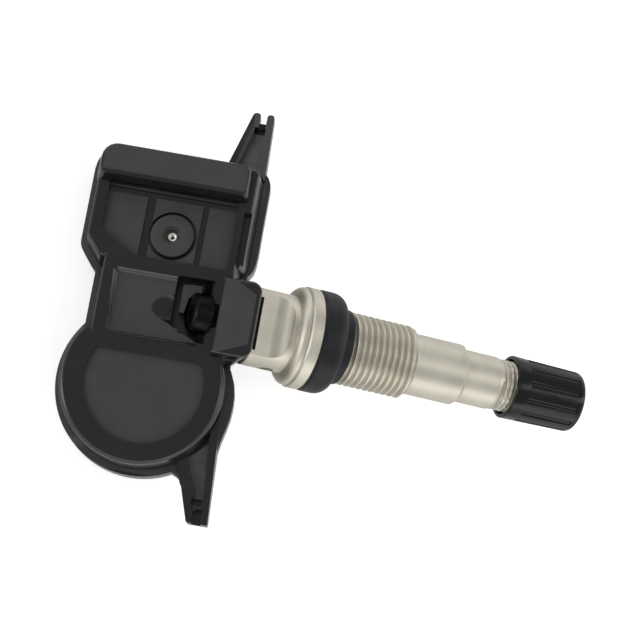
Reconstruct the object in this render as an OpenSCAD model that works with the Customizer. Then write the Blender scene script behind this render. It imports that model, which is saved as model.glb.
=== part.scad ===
// Clamp-in tyre pressure sensor: a moulded transmitter housing screwed to a metal valve stem.
// The X axis is the valve stem's axis and points out through the wheel rim.
// The origin is on that axis, at the face of the rubber grommet that seals against the rim.
// Z is up on the marked side of the housing, and Y runs from one support leg to the other.

/* [Valve stem] */
// Diameter of the thread for the rim nut
nut_thread_d = 11; // [10.5:0.1:11.5]
// Length of the thread for the rim nut
nut_thread_len = 10.6; // [8:0.2:13]
// Diameter of the plain barrel past the nut thread
barrel_d = 9.3; // [8.6:0.1:10]
// Length of that plain barrel
barrel_len = 8.5; // [6:0.1:11]
// Diameter of the slim collar behind the cap thread
collar_d = 8.1; // [7.9:0.1:8.5]
// Length of that collar
collar_len = 5.6; // [4:0.1:8]
// Diameter of the thread for the valve cap
cap_thread_d = 7.8; // [7.6:0.1:7.8]
// Length of the thread for the valve cap
cap_thread_len = 10.2; // [9:0.2:11]
// Diameter of the flange that backs the grommet
flange_d = 15.2; // [14:0.1:17]
// Thickness of the flange's rim
flange_t = 1.95; // [1.5:0.05:2.6]
// Diameter of the neck between the flange and the housing
neck_d = 11.7; // [11:0.1:12.4]
// Distance from the flange's sealing face back to the end of the neck
neck_len = 9.6; // [9:0.1:11]
// Height of the flat on the neck above the stem's axis
flat_z = 3.6; // [3.2:0.1:4.2]
// Radius of the fillet where that flat runs out
flat_fillet = 2.6; // [2:0.1:3]
// Diameter of the cross hole that lets the tyre's air into the stem
vent_d = 2.4; // [1.8:0.1:2.6]
// Diameter of the air passage through the stem
passage_d = 3; // [2.4:0.1:3.4]

// Pitch of the thread for the valve cap
cap_pitch = 0.794; // [0.7:0.01:0.8]

/* [Grommet] */
// Outer diameter of the grommet
grommet_d = 15.3; // [14:0.1:16.5]
// Thickness of the grommet between the flange and the rim
grommet_len = 4; // [3:0.1:5]
// Diameter of the pilot that fills the rim's valve hole
pilot_d = 11.3; // [11.2:0.05:11.6]
// Length of that pilot
pilot_len = 1.5; // [1:0.1:2]

/* [Valve cap] */
// Length of the valve cap
cap_len = 11.7; // [10.4:0.1:13]
// Diameter of the cap at its open end
cap_mouth_d = 9.7; // [9.4:0.1:10.4]
// Diameter of the cap at its closed end
cap_end_d = 9.3; // [9:0.1:10]
// Length of cap thread left bare beside the cap
bare_thread = 2.5; // [1:0.1:3]
// Number of grip flutes round the cap
flutes = 12; // [8:1:20]
// Width of one grip flute
flute_w = 1.3; // [0.8:0.1:1.6]
// Depth of one grip flute
flute_depth = 0.28; // [0.2:0.02:0.4]

/* [Valve core] */
// Diameter of the core's barrel
core_barrel_d = 3.9; // [3.5:0.1:4.1]
// Length of the core's barrel below its thread
core_barrel_len = 8.5; // [7:0.5:10]
// Diameter of the core's threaded plug
core_plug_d = 5.2; // [5:0.1:5.4]
// Diameter of the core's pin
core_pin_d = 1.1; // [0.9:0.1:1.3]
// Travel of the pin when an inflator presses it
core_travel = 1.2; // [0.8:0.1:1.6]

/* [Housing] */
// Angle between the housing's floor and the valve stem's axis
tilt = 20.3; // [16:0.1:24]
// Height of the stem's axis over the housing's underside, near the neck
axis_h = 6.5; // [6.2:0.1:7]
// Width of the sensor compartment along the housing
block_w = 26.4; // [25:0.1:29]
// Distance from the stem's axis to the far edge of the sensor compartment
block_y = 24.2; // [22.5:0.1:26]
// Diameter of the battery compartment's foot
battery_foot_d = 26.3; // [26:0.1:28]
// Distance from the stem's axis to the battery compartment's centre
battery_y = 11.3; // [11:0.1:12.5]
// Height of the base tray's rim
base_h = 3.4; // [3:0.1:4]
// Step from the base tray's edge in to the cover's wall
rim_step = 1; // [0.6:0.1:1.4]
// Wall thickness of both mouldings
wall = 1.2; // [1:0.1:1.4]
// Height of the marked panels over the underside
deck_h = 9.3; // [9:0.1:10]
// Height of the frame round the marked panels
frame_h = 10; // [9.8:0.1:10.8]
// Height of the raised bar along the sensor compartment
bar_h = 12.6; // [11.5:0.1:14]
// Height of the battery compartment
dome_h = 9.9; // [9.6:0.1:10.8]
// Height of the nose that holds the neck
nose_h = 12; // [11.6:0.1:12.6]
// Width of the nose
nose_w = 13.6; // [13:0.1:14.4]
// Reach of each support leg past the sensor compartment's far edge
leg_reach = 9.1; // [6:0.1:10]
// Drop of a support leg's tip below the underside
leg_drop = 1.6; // [0.5:0.1:2.5]

/* [Pressure port] */
// Diameter of the port's cover disc
port_disc_d = 6.8; // [6:0.1:7.4]
// Gap round that disc
port_gap = 0.2; // [0.1:0.05:0.3]
// Diameter of the metal insert in the disc
port_insert_d = 1.7; // [1.4:0.1:2]
// Diameter of the breathing hole
port_hole_d = 0.4; // [0.3:0.05:0.6]

/* [Fixing screw] */
// Thread diameter of the screw that holds the stem
screw_d = 4; // [3.5:0.1:4]
// Length of thread that the screw has in the neck
screw_grip = 2.8; // [2.4:0.1:3.2]
// Diameter of the screw's head
screw_head_d = 5.9; // [5.4:0.1:6.2]
// Height of the screw's head
screw_head_h = 2.7; // [2.2:0.1:3]

/* [Electronics] */
// Diameter of the coin cell
cell_d = 20; // [19:0.5:21]
// Thickness of the coin cell
cell_t = 4.6; // [4:0.1:4.8]
// Thickness of the circuit board
board_t = 1; // [0.8:0.1:1]
// Clearance between the board and the cover's wall
board_gap = 0.4; // [0.3:0.1:0.6]

/* [Hidden] */
$fn = 64;
eps = 0.01;
slip = 0.02;
running = 0.05;

// Stations along the stem's axis, from the neck to the cap's end
x_seat = -grommet_len;
x_flange = x_seat - flange_t;
x_neck = x_seat - neck_len;
x_thread_end = pilot_len + nut_thread_len;
x_barrel_end = x_thread_end + barrel_len;
x_collar_end = x_barrel_end + collar_len;
x_tip = x_collar_end + cap_thread_len;
x_cap_mouth = x_collar_end + bare_thread;
x_cap_end = x_cap_mouth + cap_len;

// Slot across the neck's end, and the nose's tongue in it
tongue_w = 7.9;
tongue_len = 0.85;
tongue_gap = 0.06;

// Flange, its cone and the groove between them
cone_len = 1.25;
cone_d = flange_d - 0.4;
groove_w = 0.2;
stem_core_d = nut_thread_d - 1.2;

// Threads, wound in steps of an even angle
thread_steps = 18;
thread_flank = 30;
thread_root_w = 0.16;
step_r = 1 / cos(180 / thread_steps);
cap_thread_depth = 0.4;
cap_runout = 0.3;

// Cross hole and air passage
screw_tip_x = x_neck + screw_grip;
vent_x = screw_tip_x + vent_d / 2 + 0.05;
core_chamber_d = core_plug_d + 2 * running;
core_throat_d = core_barrel_d + 2 * 0.25;

// Valve core stations
core_plug_len = 4.2;
core_top_x = x_tip - 0.4;
core_plug_x = core_top_x - core_plug_len;
core_gasket_len = 1.8;
core_barrel_x = core_plug_x - core_gasket_len - core_barrel_len;
core_bore_d = 2.4;
core_seal_t = 1.5;
core_wall_t = 1;
pin_guide_d = core_pin_d + 2 * running;
pin_top_x = x_tip - 0.1;
pin_head_len = 0.6;
collar_t = 0.8;
collar_x = core_barrel_x + core_wall_t + 5;

// Cap stations
cap_seal_t = 1.4;
cap_seal_x = x_tip + slip;
cap_roof_x = cap_seal_x + cap_seal_t + slip;
cap_bore_d = cap_thread_d + 2 * running;
cap_counterbore_d = cap_bore_d + 0.7;
cap_counterbore_len = 1.4;
cap_edge_r = 0.9;
flute_start = 2.2;
flute_end = 1.2;
flute_turn = -5;

// Housing outlines in its own frame, where x = 0 and y = 0 lie under the stem's axis
nose_x = -8.1;
block_right = -1.8;
block_left = block_right - block_w;
waist_left = block_left + 3;
waist_right = -2.6;
battery_c = [-14.8, -battery_y];
battery_foot_r = battery_foot_d / 2;
arc_steps = 5;

block_outline = [
    [block_left, block_y], [block_left, 8.2], [waist_left, 4.5], [block_right, 6.4], [block_right, block_y]
];
block_radii = [4, 2.4, 2, 2.8, 2.6];
waist_outline = [
    [waist_left, 12], [waist_left, -12], [waist_right, -12], [waist_right, 12]
];

// Cavity shared by both mouldings
cavity_step = rim_step + wall;
roof_t = 1.1;

// Circuit board between the base's posts and the cover
floor_t = 1.3;
board_z = 2;
board_top = board_z + board_t;
tab_t = 0.2;
cell_z = board_top + tab_t + slip;
cell_top = cell_z + cell_t;

// Marked panels and the grooves that part them
panel_low_y = 6.95;
panel_high_y = 15.9;
panel_left_x = block_left + 3.4;
panel_right_x = -5.55;
panel_corner_y = 10;
panel_grooves = [[5.95, 1.25], [14.25, 0.85]];
groove_depth = 0.55;
bar_low_y = 16.8;
bar_slope_y = 17.7;

// Pressure port
port_c = [-14.35, 10.7];
port_recess = 1;
port_seal_d = 4.4;
chip_w = 4.8;
chip_h = 1.8;

// Screw pocket in the nose
bearing_x = -7.6;
head_clear_d = screw_head_d + 1;
driver_d = 5.6;
pocket_left = -12.4;
pocket_low_y = -4.4;
pocket_high_y = 5.1;
pocket_floor = 5.6;
pocket_lip_x = -5.45;
pocket_lip_z = 10.6;
guard_h = 2;

// Frame and marked panel beside the screw pocket
waist_frame_low_y = -6.3;
screw_panel = [[waist_left + 4.1, 4.1], [waist_left + 4.5, -4.4], [pocket_left + 6, -4.4], [pocket_left + 6, 4.1]];
nose_face_x = x_neck - x_seat - nose_x;

// Legs
leg_y = block_y + leg_reach;
leg_top_tip = 3.2;
leg_wall = 1.25;

// Bottom leg
low_leg_reach = 5.15;
low_leg_root = -battery_y - 1.7;
low_leg_y = -battery_y - battery_foot_r - low_leg_reach;
leg_web = 2.3;
leg_slot_w = 1;
leg_notch = 2.2;

// Nose details
nose_back = -8;
nose_corner = 1.6;
nose_draft = 1.1;
tongue_drop = 4;
tongue_rise = 3;

// Battery compartment
dome_recess_c = battery_c + [0.3, -0.2];
dome_recess_r = 8.8;
dome_recess_depth = 0.5;
dome_recess_high = -7.25;
dome_recess_right = -5.5;
dome_cut_y = -4.9;
cell_c = battery_c + [-0.6, -0.9];
cell_room_r = cell_d / 2 + 0.2;
tab_x = -17.5;
tab_w = 4;
tab_gap = 0.2;
tab_foot = 1.8;
tab_len = 12;
tab_disc_d = 7;

// Electronics
post_d = 2;
post_places = [[-23.6, 19], [-6, 19], [-22, 0], [-7.6, 9.4], [-15.5, -21.6]];
coil_c = [-13, 20.2];
coil_len = 11;
coil_core_d = 1.8;
coil_cheek = 3.4;
antenna_c = [-24.6, 15.4];
antenna_len = 8.4;
antenna_w = 1;
antenna_t = 0.4;
antenna_h = deck_h - groove_depth - roof_t - board_top - 0.85;

// Thread leads and the core's spring
thread_lead = 0.5;
spring_r = 0.87;
wire_d = 0.32;
wire_sides = 8;
spring_turns = 6;
spring_steps = 12;

// Unit vector of an edge, and its normal towards the inside of a counter-clockwise outline
function along(a, b) = (b - a) / norm(b - a);
function inward(a, b) = let(e = along(a, b)) [-e[1], e[0]];

// Outline moved inwards by a step, corner by corner
function inset(pts, step) = let(n = len(pts)) [
    for (i = [0 : n - 1])
        let(
            before = inward(pts[(i + n - 1) % n], pts[i]),
            after = inward(pts[i], pts[(i + 1) % n])
        )
        pts[i] + step * (before + after) / (1 + before * after)
];

// Arc that rounds the corner p between its neighbours a and b
function corner_arc(a, p, b, r) =
    let(
        u = along(p, a),
        v = along(p, b),
        half = acos(u * v) / 2,
        c = p + r / sin(half) * (u + v) / norm(u + v),
        s = p + u * r / tan(half) - c,
        e = p + v * r / tan(half) - c,
        start = atan2(s[1], s[0]),
        turn = atan2(e[1], e[0]) - start,
        sweep = turn > 180 ? turn - 360 : turn < -180 ? turn + 360 : turn
    )
    [for (i = [0 : arc_steps]) c + r * [cos(start + sweep * i / arc_steps), sin(start + sweep * i / arc_steps)]];

// Outline with each corner rounded by its own radius
function rounded(pts, radii) = let(n = len(pts)) [
    for (i = [0 : n - 1])
        each corner_arc(pts[(i + n - 1) % n], pts[i], pts[(i + 1) % n], max(radii[i], 0.05))
];

// Outline stepped inwards, with its corner radii reduced by the same step
function stepped(pts, radii, step) = rounded(inset(pts, step), [for (r = radii) r - step]);

// Solid skinned over levels of [height, outline], all with the same number of points
module loft(levels) {
    n = len(levels[0][1]);
    top = (len(levels) - 1) * n;
    polyhedron(
        points = [for (l = levels) for (p = l[1]) [p[0], p[1], l[0]]],
        faces = concat(
            [[for (i = [0 : n - 1]) i]],
            [[for (i = [n - 1 : -1 : 0]) top + i]],
            [for (k = [0 : len(levels) - 2]) for (i = [0 : n - 1])
                [k * n + i, (k + 1) * n + i, (k + 1) * n + (i + 1) % n]],
            [for (k = [0 : len(levels) - 2]) for (i = [0 : n - 1])
                [k * n + i, (k + 1) * n + (i + 1) % n, k * n + (i + 1) % n]]
        )
    );
}

// Moulded block with drafted walls and a rounded top edge
module moulded(pts, radii, z0, z1, draft, edge) {
    loft(concat(
        [[z0, stepped(pts, radii, 0)]],
        [for (a = [0 : 22.5 : 90])
            [z1 - edge * (1 - sin(a)), stepped(pts, radii, draft + edge * (1 - cos(a)))]]
    ));
}

// Straight slab between two heights
module slab(pts, radii, z0, z1) {
    translate([0, 0, z0]) linear_extrude(z1 - z0) polygon(rounded(pts, radii));
}

// Plan of the housing between two heights, stepped in from the tray's outer edge
module footprint(z0, z1, step, round_c, round_r) {
    translate([0, 0, z0]) linear_extrude(z1 - z0) {
        polygon(stepped(block_outline, block_radii, step));
        polygon(inset(waist_outline, step));
        translate(round_c) circle(r = round_r);
    }
}

// Places the housing's own frame against the stem
module in_housing() {
    translate([x_seat + nose_x, 0, 0]) rotate([0, -tilt, 0]) translate([0, 0, -axis_h]) children();
}

// Inside the housing's frame, X is turned back on to the stem's axis
module along_stem() {
    translate([0, 0, axis_h]) rotate([0, tilt, 0]) children();
}

// Cylinder along X from x0 to x1
module rod(x0, x1, d) {
    translate([x0, 0, 0]) rotate([0, 90, 0]) cylinder(h = x1 - x0, d = d);
}

// Solid turned about the X axis from points of [radius, x]
module turned(profile) {
    rotate([0, 90, 0]) rotate_extrude() polygon(profile);
}

// Everything past the plane on which the neck's end seats
module past_nose(gap) {
    along_stem() translate([nose_face_x + gap, -nose_w, -20]) cube([20, 2 * nose_w, 40]);
}

// Where the nose's front edge lies at a height
function nose_front(z) = (nose_face_x + (z - axis_h) * sin(tilt)) / cos(tilt);

function nose_level(z, draft, step) =
    let(half = nose_w / 2 - draft - step)
    rounded(
        [[nose_back, half], [nose_back, -half], [nose_front(z) - step, -half], [nose_front(z) - step, half]],
        [0.05, 0.05, nose_corner - step / 2, nose_corner - step / 2]
    );

module nose() {
    edge = 0.5;
    loft(concat(
        [[base_h, nose_level(base_h, 0, 0)]],
        [for (a = [0 : 22.5 : 90])
            let(z = nose_h - edge * (1 - sin(a)))
            [z, nose_level(z, nose_draft, edge * (1 - cos(a)))]]
    ));
}

module tongue() {
    along_stem()
        translate([nose_face_x - 1, -tongue_w / 2 + tongue_gap, -tongue_drop])
            cube([1 + tongue_len - tongue_gap, tongue_w - 2 * tongue_gap, tongue_drop + tongue_rise]);
}

// Raised bar with a sloping face towards the panels
module top_bar() {
    bar = [[block_left, block_y], [block_left, bar_low_y], [block_right - 1, bar_low_y], [block_right - 1, block_y]];
    slope = bar_slope_y - bar_low_y;
    function level(z, low, step) = rounded(
        [
            [block_left + step, block_y - step], [block_left + step, bar_low_y + low],
            [block_right - 1 - step, bar_low_y + low], [block_right - 1 - step, block_y - step]
        ],
        [4 - step, 1, 1, 3 - step]
    );
    loft([
        [base_h, level(base_h, 0, rim_step)],
        [deck_h - groove_depth, level(deck_h, 0, rim_step + 0.2)],
        [bar_h - 0.5, level(bar_h, slope, rim_step + 0.7)],
        [bar_h - 0.15, level(bar_h, slope + 0.15, rim_step + 0.85)],
        [bar_h, level(bar_h, slope + 0.5, rim_step + 1.2)]
    ]);
}

// Battery compartment with its shallow marked recess
module dome() {
    r = battery_foot_r - rim_step;
    edge = 0.9;
    translate(battery_c) rotate_extrude()
        polygon(concat(
            [[0, base_h], [r, base_h], [r - 0.1, dome_h - edge]],
            [for (a = [0 : 15 : 90]) [r - 0.1 - edge * (1 - cos(a)), dome_h - edge * (1 - sin(a))]],
            [[0, dome_h]]
        ));
}

module dome_recess() {
    intersection() {
        translate([dome_recess_c[0], dome_recess_c[1], dome_h - dome_recess_depth]) cylinder(h = 5, r = dome_recess_r);
        translate([dome_recess_right - 30, dome_recess_high - 30, 0]) cube([30, 30, 30]);
    }
}

// Floor of the frame that holds the marked panels, and the grooves between them
module panel_recess() {
    outline = [
        [panel_left_x, panel_high_y + 1.4], [panel_left_x, panel_corner_y], [panel_left_x + 5.4, panel_low_y],
        [panel_right_x, panel_low_y], [panel_right_x, panel_high_y + 1.4]
    ];
    slab(outline, [0.3, 0.5, 1, 0.4, 0.3], deck_h, frame_h + 5);
    for (g = panel_grooves)
        translate([panel_left_x + g[0], panel_low_y, deck_h - groove_depth])
            cube([g[1], panel_high_y - panel_low_y + 0.4, 5]);
    translate([panel_left_x, panel_high_y, deck_h - groove_depth])
        cube([panel_right_x - panel_left_x, bar_low_y - panel_high_y, 5]);
}

// Frame round the marked panel beside the fixing screw
module waist_frame() {
    frame = [
        [waist_left, 12], [waist_left, waist_frame_low_y - rim_step],
        [waist_right, waist_frame_low_y - rim_step], [waist_right, 12]
    ];
    difference() {
        moulded(inset(frame, rim_step), [0.5, 0.5, 0.5, 0.5], base_h, frame_h, 0.7, 0.4);
        screw_panel_recess();
    }
}

// Recess of that panel, with sloping walls
module screw_panel_recess() {
    slope = frame_h - deck_h;
    loft([
        [deck_h, rounded(screw_panel, [0.4, 0.4, 0.4, 0.4])],
        [frame_h, rounded(inset(screw_panel, -slope), [0.6, 0.6, 0.6, 0.6])],
        [frame_h + 5, rounded(inset(screw_panel, -slope), [0.6, 0.6, 0.6, 0.6])]
    ]);
}

module port_bore() {
    translate([port_c[0], port_c[1], deck_h - port_recess])
        cylinder(h = 5, d = port_disc_d + 2 * port_gap);
    translate([port_c[0], port_c[1], 0]) cylinder(h = 20, d = port_insert_d + 2 * slip);
}

// Well for the fixing screw's head, with the driver's way in along the stem's axis
module screw_pocket() {
    well = [
        [pocket_left, pocket_high_y], [pocket_left, -2.3], [-8.7, -4], [-8, pocket_low_y],
        [-3, pocket_low_y], [-3, pocket_high_y]
    ];
    lip = [
        [pocket_left + 2, pocket_high_y], [pocket_left + 2, -3], [-8.7, -3.9], [-8, pocket_low_y],
        [pocket_lip_x, pocket_low_y], [pocket_lip_x, pocket_high_y]
    ];
    slab(lip, [0.3, 0.3, 0.3, 0.3, 0.4, 0.6], pocket_lip_z, nose_h + 5);
    difference() {
        intersection() {
            slab(well, [0.6, 0.4, 0.4, 0.4, 0.4, 0.8], pocket_floor, nose_h + 5);
            along_stem() translate([bearing_x - 20, -20, -20]) cube([20, 40, 40]);
        }
        screw_guard();
    }
    along_stem() rod(bearing_x - 14, bearing_x - screw_head_h, driver_d);
    along_stem() rod(bearing_x - screw_head_h - 1, bearing_x, head_clear_d);
}

// Corner rib on the pocket's floor, which keeps the screw from falling out while it is loose
module screw_guard() {
    difference() {
        slab([[-11.5, 4.1], [-11.5, -0.2], [-8.5, -0.2], [-8.5, 4.1]], [0.1, 0.1, 0.1, 0.1],
            pocket_floor - 1, pocket_floor + guard_h);
        slab([[-10.6, 3.3], [-10.6, -1], [-7.5, -1], [-7.5, 3.3]], [1.3, 0.1, 0.1, 0.1],
            pocket_floor, pocket_floor + guard_h + 1);
    }
}

// Room for the battery and the electronics under the cover
module cover_cavity() {
    low = base_h - 1;
    half_span = 9;
    slab(inset(block_outline, cavity_step), [for (r = block_radii) r - cavity_step], low,
        deck_h - groove_depth - roof_t);
    slab(
        [
            [block_left + cavity_step + 0.8, block_y - cavity_step - 0.8],
            [block_left + cavity_step + 0.8, bar_slope_y],
            [block_right - cavity_step - 1.4, bar_slope_y],
            [block_right - cavity_step - 1.4, block_y - cavity_step - 0.8]
        ],
        [1.2, 0.3, 0.3, 1.2], low, bar_h - roof_t
    );
    translate([cell_c[0], cell_c[1], low]) cylinder(h = dome_h - dome_recess_depth - roof_t - low, r = cell_room_r);
    translate([waist_left + cavity_step, -half_span, low])
        cube([pocket_left - roof_t - waist_left - cavity_step, 2 * half_span, deck_h - roof_t - low]);
    translate([waist_left + cavity_step, -half_span, low])
        cube([waist_right - waist_left - 2 * cavity_step, 2 * half_span, pocket_floor - roof_t - low]);
}

module upper_housing() {
    color([0.11, 0.11, 0.11]) in_housing() difference() {
        union() {
            difference() {
                union() {
                    moulded(inset(block_outline, rim_step), [for (r = block_radii) r - rim_step],
                        base_h, frame_h, 0.5, 0.5);
                    moulded(inset(waist_outline, rim_step), [0.5, 0.5, 0.5, 0.5], base_h, deck_h, 0.7, 0.4);
                }
                panel_recess();
            }
            waist_frame();
            top_bar();
            difference() {
                dome();
                dome_recess();
                translate([-40, dome_cut_y, deck_h]) cube([80, 40, 10]);
            }
            nose();
            difference() {
                tongue();
                translate([-20, -20, -20]) cube([40, 40, 20 + base_h]);
            }
        }
        cover_cavity();
        port_bore();
        screw_pocket();
        along_stem() rod(bearing_x - 1, nose_face_x + 5, screw_d + 0.3);
        translate([panel_right_x + 1.1, panel_low_y + 1.2, deck_h - 0.9]) cube([1.1, 7.8, 5]);
    }
}

// Channel-section leg that props the housing on the rim, its tip split into two prongs.
// Root and tip are given as [y, right edge, width, top], and open is the length of notch with no floor.
module leg(root, tip, open) {
    s = sign(tip[0] - root[0]);
    notch_x = tip[1] - tip[2] / 2 - leg_slot_w / 2;
    difference() {
        leg_body(root, tip, 0, 0, 0);
        leg_body(root, [tip[0] - s * 3.5, tip[1], tip[2] + 0.4, tip[3]], leg_wall, leg_web, 9);
        translate([notch_x, tip[0] - leg_notch, leg_web - leg_drop - 1]) cube([leg_slot_w, 2 * leg_notch, 9]);
        if (open > 0)
            translate([notch_x, tip[0] - open, -leg_drop - 1]) cube([leg_slot_w, 2 * open, 9]);
    }
}

module leg_body(root, tip, side, low, rise) {
    hull() {
        translate([root[1] - root[2] + side, root[0], low])
            cube([root[2] - 2 * side, eps, root[3] - low + rise]);
        translate([tip[1] - tip[2] + side, tip[0] - eps, low - leg_drop])
            cube([tip[2] - 2 * side, eps, tip[3] + leg_drop - low + rise]);
    }
}

module base_housing() {
    color([0.07, 0.07, 0.07]) in_housing() {
        difference() {
            union() {
                footprint(0, base_h, 0, battery_c, battery_foot_r);
                difference() {
                    union() {
                        leg([block_y - 2, -2.75, 6.3, 5.4], [leg_y, -3.2, 3.15, leg_top_tip - leg_drop], 1.1);
                        leg([low_leg_root, -2.75, 7.7, 7.2], [low_leg_y, -2.05, 3.2, leg_top_tip - leg_drop], 0);
                    }
                    footprint(base_h, base_h + 9, rim_step - slip, battery_c, battery_foot_r - rim_step + slip);
                }
            }
            footprint(floor_t, base_h + 9, cavity_step, cell_c, cell_room_r);
            past_nose(0);
        }
        for (p = post_places)
            translate([p[0], p[1], floor_t - eps]) cylinder(h = board_z - floor_t + eps, d = post_d);
    }
}

module port_disc() {
    color([0.12, 0.12, 0.12]) in_housing()
        translate([port_c[0], port_c[1], deck_h - port_recess]) difference() {
            cylinder(h = port_recess, d = port_disc_d);
            translate([0, 0, -eps]) cylinder(h = 3, d = port_insert_d + 2 * slip);
            translate([0, 0, port_recess - 0.35]) cylinder(h = 3, d = port_insert_d + 0.85);
        }
}

module port_insert() {
    color([0.8, 0.8, 0.8]) in_housing()
        translate([port_c[0], port_c[1], deck_h - port_recess - 0.6]) difference() {
            cylinder(h = 1.1, d = port_insert_d);
            translate([0, 0, -eps]) cylinder(h = 2, d = port_hole_d);
        }
}

module port_seal() {
    color([0.25, 0.25, 0.27]) in_housing()
        translate([port_c[0], port_c[1], board_top + chip_h]) difference() {
            cylinder(h = deck_h - groove_depth - roof_t - board_top - chip_h, d = port_seal_d);
            translate([0, 0, -eps]) cylinder(h = 9, d = port_seal_d - 2);
        }
}

module circuit_board() {
    color([0.08, 0.3, 0.15]) in_housing()
        footprint(board_z, board_top, cavity_step + board_gap, cell_c, cell_room_r - board_gap);
}

module coin_cell() {
    color([0.75, 0.75, 0.75]) in_housing() translate([cell_c[0], cell_c[1], cell_z]) rotate_extrude()
        polygon([
            [0, 0], [cell_d / 2 - 1.4, 0], [cell_d / 2 - 1.2, 0.5], [cell_d / 2 - 0.5, 0.7],
            [cell_d / 2, 1.1], [cell_d / 2, cell_t - 0.4], [cell_d / 2 - 0.4, cell_t], [0, cell_t]
        ]);
}

module cell_tab_top() {
    edge_y = cell_c[1] + cell_d / 2 + tab_gap + tab_t;
    color([0.85, 0.8, 0.65]) in_housing() {
        translate([tab_x - tab_w / 2, cell_c[1] - 3, cell_top + slip]) cube([tab_w, edge_y - cell_c[1] + 3, tab_t]);
        translate([tab_x - tab_w / 2, edge_y - tab_t, board_top]) cube([tab_w, tab_t, cell_top + slip - board_top]);
        translate([tab_x - tab_w / 2, edge_y - tab_t, board_top]) cube([tab_w, tab_foot, tab_t]);
    }
}

module cell_tab_bottom() {
    color([0.85, 0.8, 0.65]) in_housing() {
        translate([cell_c[0] - tab_w / 2, cell_c[1] - tab_len / 2, board_top]) cube([tab_w, tab_len, tab_t]);
        translate([cell_c[0], cell_c[1], board_top]) cylinder(h = tab_t, d = tab_disc_d);
    }
}

module on_board(x, y) {
    in_housing() translate([x, y, board_top]) children();
}

module pressure_chip() {
    color([0.85, 0.85, 0.8]) on_board(port_c[0], port_c[1]) difference() {
        translate([-chip_w / 2, -chip_w / 2, 0]) cube([chip_w, chip_w, chip_h]);
        translate([0, 0, chip_h - 0.6]) cylinder(h = 1, d = 1.6);
    }
}

module radio_chip() {
    color([0.1, 0.1, 0.1]) on_board(-20.6, 11.6) translate([-2.5, -2.5, 0]) cube([5, 5, 0.9]);
}

module crystal() {
    color([0.8, 0.8, 0.8]) on_board(-20.6, 16.4) translate([-1.6, -1.25, 0]) cube([3.2, 2.5, 0.8]);
}

module capacitors() {
    color([0.55, 0.42, 0.3]) for (i = [0 : 3])
        on_board(-8.6 + 2.4 * (i % 2), 10 + 2.2 * floor(i / 2)) translate([-0.8, -0.4, 0]) cube([1.6, 0.8, 0.8]);
}

// Ferrite core with square end cheeks
module coil_core() {
    color([0.2, 0.2, 0.22]) on_board(coil_c[0], coil_c[1]) translate([0, 0, coil_cheek / 2]) {
        rod(-coil_len / 2, coil_len / 2, coil_core_d);
        for (s = [-1, 1]) translate([s * (coil_len / 2 - 0.5) - 0.5, -coil_cheek / 2, -coil_cheek / 2])
            cube([1, coil_cheek, coil_cheek]);
    }
}

module coil_winding() {
    color([0.72, 0.4, 0.2]) on_board(coil_c[0], coil_c[1]) translate([0, 0, coil_cheek / 2]) difference() {
        rod(-coil_len / 2 + 1 + slip, coil_len / 2 - 1 - slip, coil_cheek - 0.5);
        rod(-coil_len, coil_len, coil_core_d + 2 * slip);
    }
}

// Sprung metal strip that radiates the signal
module antenna_loop() {
    color([0.8, 0.76, 0.6]) on_board(antenna_c[0], antenna_c[1]) {
        translate([-antenna_w / 2, -antenna_len / 2, antenna_h - antenna_t]) cube([antenna_w, antenna_len, antenna_t]);
        for (s = [-1, 1]) translate([-antenna_w / 2, s * (antenna_len - antenna_t) / 2 - antenna_t / 2, 0])
            cube([antenna_w, antenna_t, antenna_h]);
    }
}

// Six-lobe recess cut into the head's outer face
module six_lobe(depth) {
    rotate([0, 90, 0]) {
        cylinder(h = depth, d = 2.3);
        for (a = [0 : 60 : 300]) rotate([0, 0, a]) translate([1.15, 0, 0]) cylinder(h = depth, d = 0.8);
    }
}

module fixing_screw() {
    color([0.09, 0.09, 0.09]) in_housing() along_stem() difference() {
        union() {
            translate([bearing_x, 0, 0]) turned([
                [0, -screw_head_h], [screw_head_d / 2 - 0.4, -screw_head_h], [screw_head_d / 2, -screw_head_h + 0.4],
                [screw_head_d / 2, 0], [0, 0]
            ]);
            rod(bearing_x - eps, nose_face_x + screw_grip, screw_d);
        }
        translate([bearing_x - screw_head_h - eps, 0, 0]) six_lobe(1.5);
    }
}

// Turned stem: neck, rounded shoulder, flange, nut thread, barrel, collar and cap thread
module stem_solid() {
    neck_r = neck_d / 2;
    cone_r = cone_d / 2;
    shoulder_x = x_flange - groove_w - cone_len;
    turned(concat(
        [[0, x_neck], [neck_r - 0.2, x_neck], [neck_r, x_neck + 0.2]],
        [for (a = [0 : 15 : 90])
            [neck_r + (cone_r - neck_r) * sin(a), shoulder_x + cone_len * (1 - cos(a))]],
        [
            [cone_r - 0.2, x_flange - groove_w / 2], [flange_d / 2 - 0.25, x_flange],
            [flange_d / 2, x_flange + 0.25], [flange_d / 2, x_seat - 0.2], [flange_d / 2 - 0.2, x_seat],
            [stem_core_d / 2, x_seat], [stem_core_d / 2, pilot_len], [stem_core_d / 2 + 0.1, pilot_len],
            [nut_thread_d / 2, pilot_len + thread_lead], [nut_thread_d / 2, x_thread_end - thread_lead],
            [nut_thread_d / 2 - thread_lead, x_thread_end], [barrel_d / 2, x_thread_end],
            [barrel_d / 2, x_barrel_end - 0.45], [collar_d / 2, x_barrel_end + 0.15], [collar_d / 2, x_collar_end - 0.1],
            [cap_thread_d / 2, x_collar_end], [cap_thread_d / 2, x_tip - 0.6],
            [cap_thread_d / 2 - 0.6, x_tip], [0, x_tip]
        ]
    ));
}

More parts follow.
